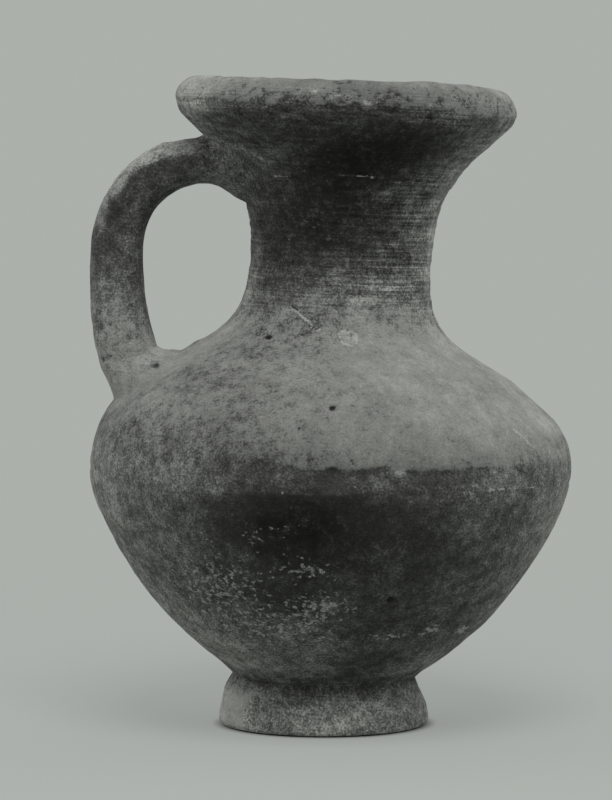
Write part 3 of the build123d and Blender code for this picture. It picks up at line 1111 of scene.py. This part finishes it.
# The pads on the skin: its step, how deep their hidden outlines sink, and the scales of these, of the
# middle and of an outline that shows which way the clay spreads. The wear goes out at a pad's end
ON_SKIN_STEP = 0.2
PAD_SINK = 1.2
HIDDEN_SCALES = (1, 0.7, 0.4)
MIDDLE_SCALE = 0.02
SPREAD_SCALE = 1.04
WEAR_ENDS = (0.75, 1)
LOWER_FOOT = (HANDLE_LINE[-1, 1] + LOWER_FOOT_RISE, LOWER_FOOT_REACH, LOWER_FOOT_HALF_ANGLE)
UPPER_PULLS = (1.2, 1.4)
LOWER_PULLS = (0.5, 0.6)


def on_skin(heights, angles, lift):
    """Upright points on the worn skin, raised by a lift. Angles are in radians."""
    points, normals = spaced(SKIN_LINE, ON_SKIN_STEP)
    flat = np.stack([np.interp(heights, points[:, 1], points[:, 0]), heights], -1)
    normal = np.stack([np.interp(heights, points[:, 1], normals[:, k]) for k in (0, 1)], -1)
    spin = np.stack([np.cos(angles), np.sin(angles)], -1)
    bare = np.concatenate([flat[..., :1] * spin, flat[..., 1:]], -1)
    out = np.concatenate([normal[..., :1] * spin, normal[..., 1:]], -1)
    return bare + out * (weathering(bare) + lift)[..., None]


def footprint(middle, reach, half_angle, scale, lift=0):
    """Outline of a pad on the skin, scaled about its middle and raised."""
    height = middle + reach * scale * np.cos(STRAP_TURNS)
    angle = pi - radians(half_angle) * scale * np.sin(STRAP_TURNS)
    return on_skin(height, angle, lift)


def pad(distance, inward, place, softness, pulls):
    """A wad of clay from the strap's end, spread on to its place on the skin."""
    start = strap_ring(distance)
    _, along, _ = strap_frame(distance)
    leaving = in_handle_plane(along * inward)
    foot = footprint(*place, 1)
    outward = footprint(*place, SPREAD_SCALE) - foot
    outward /= np.linalg.norm(outward, axis=-1)[:, None]
    chord = np.linalg.norm(foot - start, axis=-1)[:, None]
    arriving = outward * softness[:, None] + (foot - start) / chord * (1 - softness[:, None])
    t = np.linspace(0, 1, PAD_RINGS)[:, None, None]
    rings = cubic(start, foot, leaving * chord * pulls[0], arriving * chord * pulls[1], t)
    rings = pushed_out(rings, handle_wear(rings) * fall(t[..., 0], *WEAR_ENDS) * inward)
    hidden = np.array([footprint(*place, scale, -PAD_SINK) for scale in HIDDEN_SCALES])
    rings = np.concatenate([rings, hidden])
    poles = np.array([start.mean(0), footprint(*place, MIDDLE_SCALE, -PAD_SINK).mean(0)])
    if inward < 0:
        rings = rings[:, ::-1]
    return rings, poles


def handle_upper_pad():
    """The wad on the neck and the flare, softest at its two sides."""
    softness = 0.15 + 0.85 * np.abs(np.sin(STRAP_TURNS)) ** 1.5
    return pad(STRAP_START, -1, UPPER_FOOT, softness, UPPER_PULLS)


def handle_lower_pad():
    """The wad on the shoulder, softest under the strap."""
    outer = np.cos(STRAP_TURNS)
    softness = 0.8 - 0.25 * np.maximum(outer, 0) + 0.1 * np.maximum(-outer, 0)
    return pad(STRAP_END, 1, LOWER_FOOT, softness, LOWER_PULLS)


# Materials


def node(tree, kind, inputs=None, **settings):
    """A shader node. Its inputs are values or other nodes' outputs."""
    made = tree.nodes.new(kind)
    for key, value in settings.items():
        setattr(made, key, value)
    for key, value in (inputs or {}).items():
        if isinstance(value, bpy.types.NodeSocket):
            tree.links.new(value, made.inputs[key])
        else:
            made.inputs[key].default_value = value
    return made


def number(tree, operation, first, second):
    """Result of an operation on two numbers or outputs."""
    return node(tree, "ShaderNodeMath", {0: first, 1: second}, operation=operation).outputs[0]


def stored(tree, name):
    """A value kept on the mesh."""
    return node(tree, "ShaderNodeAttribute", attribute_name=name).outputs["Fac"]


def spread(tree, value, low, high, out_low=0.0, out_high=1.0):
    """A value stretched from one range to another and held at the ends."""
    ends = {"Value": value, "From Min": low, "From Max": high, "To Min": out_low, "To Max": out_high}
    return node(tree, "ShaderNodeMapRange", ends, interpolation_type="SMOOTHSTEP").outputs[0]


def weighted(tree, *pairs):
    """Sum of outputs, each times its weight."""
    terms = [number(tree, "MULTIPLY", value, weight) for value, weight in pairs]
    total = terms[0]
    for term in terms[1:]:
        total = number(tree, "ADD", total, term)
    return total


def over(tree, share, under, top):
    """A tone laid over another by a share."""
    return node(tree, "ShaderNodeMix", {0: share, 2: under, 3: top}, data_type="FLOAT").outputs[0]


def mix_shaders(tree, share, under, top, output):
    """One shader laid over another by a share, as the tree's surface."""
    mix = node(tree, "ShaderNodeMixShader", {0: share, 1: under.outputs[0], 2: top.outputs[0]})
    tree.links.new(mix.outputs[0], tree.nodes[output].inputs["Surface"])


# Noises in the clay: waves per metre along each axis, detail and roughness
CLAY_NOISES = {
    "clouds": ((55, 55, 55), 4, 0.6),
    "patches": ((330, 330, 330), 3, 0.62),
    "grain": ((1500, 1500, 1500), 2, 0.65),
    "streaks": ((45, 45, 1200), 3, 0.6),
    "pores": ((620, 620, 1300), 2, 0.5),
    "grit": ((640, 640, 640), 2, 0.55),
    "chips": ((540, 540, 760), 3, 0.6),
}
# Mixes of the noises: how much of each
GROUND_MIX = {"clouds": 1.8, "patches": 3.2}
RAGGED_MIX = {"clouds": 0.8, "patches": 1.4, "grain": 1.1}
PALE_MIX = {"clouds": 0.9, "patches": 1.1, "grain": 1.4, "tone": 0.5, "pores": 0.7}
SPECK_MIX = {"chips": 1, "specks": 0.22}
RELIEF_MIX = {"grain": 0.5, "patches": 0.7, "streaks": 0.8}
# Ranges of values, some with what comes out at their ends in place of 0 and 1
PORES = (-0.3, -0.2, -1, 0)
CALM = (-2.6, -0.6, 0.32, 0.92)
STREAKS_CALM = 0.35
GRIT = (0.1, 0.2)
GRIT_TONES = (-3.6, -2.3)
GRIT_LEFT_IN_DARK = 0.12
COVER = (0, 0.75)
SPECKS = (0.25, 0.34)
SPECK_GRAIN = (-0.12, 0.12, 0.6, 1)
BRIGHT = (0.4, 0.8)
BRIGHT_RAGGED = 0.7
DARK = (0.25, 0.75)
ROUGHNESS = (-0.25, 0.25, 0.98, 0.82)
SPECULAR = 0.2
BUMP_STRENGTH = 0.7
BUMP_DISTANCE = 0.0008
# Tint of the clay, and the brightness of what lies on it, in stops
CLAY_TINT = (0.985, 1.01, 0.935)
PALE_TONE = np.log2(0.208)
GRIT_TONE = np.log2(0.17)
SPECK_TONE = np.log2(0.36)
BRIGHT_TONE = np.log2(0.34)
DARK_TONE = np.log2(0.015)


def clay_noise(tree, where, waves, detail, roughness):
    """Noise that runs evenly to both sides of zero."""
    scaled = node(tree, "ShaderNodeMapping", {"Vector": where, "Scale": waves}).outputs[0]
    settings = {"Vector": scaled, "Scale": 1, "Detail": detail, "Roughness": roughness}
    return number(tree, "SUBTRACT", node(tree, "ShaderNodeTexNoise", settings).outputs[0], 0.5)


def clay_layers(tree):
    """The clay's noises and the values kept on the mesh, by name."""
    where = node(tree, "ShaderNodeAttribute", attribute_name="rest").outputs["Vector"]
    layers = {key: clay_noise(tree, where, *settings) for key, settings in CLAY_NOISES.items()}
    layers["streaks"] = number(tree, "MULTIPLY", layers["streaks"], stored(tree, "streaks"))
    layers["pores"] = spread(tree, layers["pores"], *PORES)
    layers.update({key: stored(tree, key) for key in ("tone", "pale", "specks", "bright", "dark")})
    return layers


def mixed(tree, layers, shares):
    """Sum of some of the layers by their shares."""
    return weighted(tree, *((layers[key], share) for key, share in shares.items()))


def ground_tone(tree, layers, ground, streak_stops, grain_stops, grit_share):
    """Tone of the bare clay with its texture, pores and grit."""
    shares = GROUND_MIX | {"grain": grain_stops, "streaks": streak_stops}
    calm = spread(tree, layers["tone"], *CALM)
    calm = weighted(tree, (calm, 1), (stored(tree, "streaks"), STREAKS_CALM))
    texture = number(tree, "MULTIPLY", mixed(tree, layers, shares), calm)
    tone = weighted(tree, (texture, 1), (layers["pores"], 1), (layers["tone"], 1))
    tone = number(tree, "ADD", tone, np.log2(ground))
    shown = spread(tree, layers["tone"], *GRIT_TONES, GRIT_LEFT_IN_DARK * grit_share, grit_share)
    grit = number(tree, "MULTIPLY", spread(tree, layers["grit"], *GRIT), shown)
    return over(tree, grit, tone, GRIT_TONE)


def covered_tone(tree, layers, tone):
    """A tone with the pale cover, specks, bright marks and hollows over it."""
    ragged = mixed(tree, layers, RAGGED_MIX)
    cover = spread(tree, number(tree, "ADD", layers["pale"], ragged), *COVER)
    tone = over(tree, cover, tone, number(tree, "ADD", mixed(tree, layers, PALE_MIX), PALE_TONE))
    specks = spread(tree, mixed(tree, layers, SPECK_MIX), *SPECKS)
    specks = number(tree, "MULTIPLY", specks, spread(tree, layers["grain"], *SPECK_GRAIN))
    tone = over(tree, specks, tone, SPECK_TONE)
    bright = weighted(tree, (layers["bright"], 1), (ragged, BRIGHT_RAGGED))
    tone = over(tree, spread(tree, bright, *BRIGHT), tone, BRIGHT_TONE)
    return over(tree, spread(tree, layers["dark"], *DARK), tone, DARK_TONE)


def clay(name, ground, streak_stops, grain_stops, grit_share):
    """Gritty fired clay. Its tones are in stops, so that stains multiply."""
    material = bpy.data.materials.new(name)
    material.use_nodes = True
    tree = material.node_tree
    shader = tree.nodes["Principled BSDF"]
    layers = clay_layers(tree)
    tone = ground_tone(tree, layers, ground, streak_stops, grain_stops, grit_share)
    albedo = number(tree, "POWER", 2, covered_tone(tree, layers, tone))
    colour = node(tree, "ShaderNodeVectorMath", {0: CLAY_TINT, "Scale": albedo}, operation="SCALE")
    tree.links.new(colour.outputs[0], shader.inputs["Base Color"])
    tree.links.new(spread(tree, layers["patches"], *ROUGHNESS), shader.inputs["Roughness"])
    shader.inputs["Specular IOR Level"].default_value = SPECULAR
    relief = {"Height": mixed(tree, layers, RELIEF_MIX)}
    relief |= {"Strength": BUMP_STRENGTH, "Distance": BUMP_DISTANCE}
    tree.links.new(node(tree, "ShaderNodeBump", relief).outputs[0], shader.inputs["Normal"])
    return material


def dress(piece, cad_node, material):
    """Ties a piece to the body, to its solid and to its finish."""
    piece.data.materials.append(material)
    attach(piece, "root")
    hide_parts(cad_node)


# Stage, light and camera

BACKDROP = (0.413, 0.436, 0.410, 1)
VIEW_HEIGHT = 0.2496
CAMERA_SPOT = Vector((-0.00566, -1.300, 0.190))
CAMERA_TARGET = Vector((-0.00566, 0.0, 0.1014))
KEY_SPOT = Vector((0.05, -0.72, 1.22))
KEY_TARGET = Vector((0, 0, 0.1))
KEY_SIZE = 0.7
KEY_POWER = 13
FLOOR_COLOUR = (0.40, 0.42, 0.40, 1)
FLOOR_SIZE = 6.0
FLOOR_FRONT = 0.36
# The floor's share of backdrop grey by the distance from the jug's axis: from, to, and both shares. That
# share glows, as painted light that lightens the jug's shadow on the floor
FLOOR_FADE = (0.05, 0.60, 0.6, 1.0)
# The glow is held off inside the foot's rim
FLOOR_RIM = (0.0315, 0.036, 0.0, 1.0)
# The sky's light by direction: axis, from, to, and the light at both
SKY_LIGHTS = (
    ("Y", 0.0, 0.75, 0.0, 0.95),
    ("X", -0.3, -0.95, 0.05, 1.0),
    ("X", 0.25, 0.95, 0.0, 0.80),
    ("Z", 0.4, 1.0, 0.0, 0.15),
)


def stage_floor():
    """A pale floor that keeps a shadow, lightened by a glow of backdrop grey as painted light, and fades
    into the backdrop.
    """
    half = FLOOR_SIZE / 2
    corners = [(-half, -FLOOR_FRONT, 0), (half, -FLOOR_FRONT, 0), (half, half, 0), (-half, half, 0)]
    mesh = bpy.data.meshes.new("floor")
    mesh.from_pydata(corners, [], [(0, 1, 2, 3)])
    floor = bpy.data.objects.new("floor", mesh)
    bpy.context.scene.collection.objects.link(floor)
    material = bpy.data.materials.new("floor_paper")
    material.use_nodes = True
    tree = material.node_tree
    shader = tree.nodes["Principled BSDF"]
    shader.inputs["Base Color"].default_value = FLOOR_COLOUR
    shader.inputs["Roughness"].default_value = 1.0
    shader.inputs["Specular IOR Level"].default_value = 0.0
    where = node(tree, "ShaderNodeTexCoord").outputs["Object"]
    far = node(tree, "ShaderNodeVectorMath", {0: where}, operation="LENGTH").outputs["Value"]
    glow = node(tree, "ShaderNodeEmission", {"Color": BACKDROP})
    share = number(tree, "MULTIPLY", spread(tree, far, *FLOOR_FADE), spread(tree, far, *FLOOR_RIM))
    mix_shaders(tree, share, shader, glow, "Material Output")
    mesh.materials.append(material)


def sky():
    """Plain grey to look at, which lights the jug from behind, beside and above."""
    world = bpy.data.worlds.new("sky")
    bpy.context.scene.world = world
    world.use_nodes = True
    tree = world.node_tree
    where = node(tree, "ShaderNodeTexCoord").outputs["Generated"]
    parts = node(tree, "ShaderNodeSeparateXYZ", {0: where}).outputs
    level = weighted(tree, *((spread(tree, parts[axis], *ends), 1) for axis, *ends in SKY_LIGHTS))
    light = node(tree, "ShaderNodeBackground", {"Color": (1, 1, 1, 1), "Strength": level})
    shown = node(tree, "ShaderNodeBackground", {"Color": BACKDROP})
    path = node(tree, "ShaderNodeLightPath").outputs
    seen = number(tree, "MAXIMUM", path["Is Glossy Ray"], path["Is Transmission Ray"])
    seen = number(tree, "MAXIMUM", path["Is Camera Ray"], seen)
    mix_shaders(tree, seen, light, shown, "World Output")


def aimed(name, data, spot, target):
    """An object at a spot, turned to a target."""
    made = bpy.data.objects.new(name, data)
    made.location = spot
    made.rotation_euler = (target - spot).to_track_quat("-Z", "Y").to_euler()
    bpy.context.scene.collection.objects.link(made)
    return made


def key_light():
    """A square area lamp over the camera."""
    lamp = bpy.data.lights.new("key", "AREA")
    lamp.size = KEY_SIZE
    lamp.energy = KEY_POWER
    aimed("key", lamp, KEY_SPOT, KEY_TARGET)


def camera():
    """The photograph's view, which looks down a little."""
    data = bpy.data.cameras.new("camera")
    data.sensor_fit = "VERTICAL"
    data.angle = 2 * np.arctan(VIEW_HEIGHT / 2 / (CAMERA_SPOT - CAMERA_TARGET).length)
    bpy.context.scene.camera = aimed("camera", data, CAMERA_SPOT, CAMERA_TARGET)


# Clay of each slot: brightness of its ground, stops of streaks and of grain, and share of grit
CLAYS = {
    "body_clay": (0.147, 1.6, 5.2, 0.2),
    "neck_clay": (0.146, 2.6, 4.4, 0.55),
    "handle_clay": (0.146, 0.3, 5.0, 0.3),
}
# The pieces: the solid that each stands for, what makes it, its zones and its slot
PIECES = (
    ("foot_ring", foot_ring, vessel_zones, "body_clay"),
    ("bowl", bowl, vessel_zones, "body_clay"),
    ("shoulder", shoulder, vessel_zones, "body_clay"),
    ("neck", neck, vessel_zones, "neck_clay"),
    ("mouth", mouth, vessel_zones, "neck_clay"),
    ("handle_strap", handle_strap, handle_zones, "handle_clay"),
    ("handle_upper_pad", handle_upper_pad, handle_zones, "handle_clay"),
    ("handle_lower_pad", handle_lower_pad, handle_zones, "handle_clay"),
)

clays = {slot: clay(slot, *settings) for slot, settings in CLAYS.items()}
for cad_node, make, zones, slot in PIECES:
    dress(skin("jug_" + cad_node, zones, *make()), cad_node, clays[slot])

stage_floor()
sky()
key_light()
camera()
bpy.context.scene.view_settings.view_transform = "Standard"
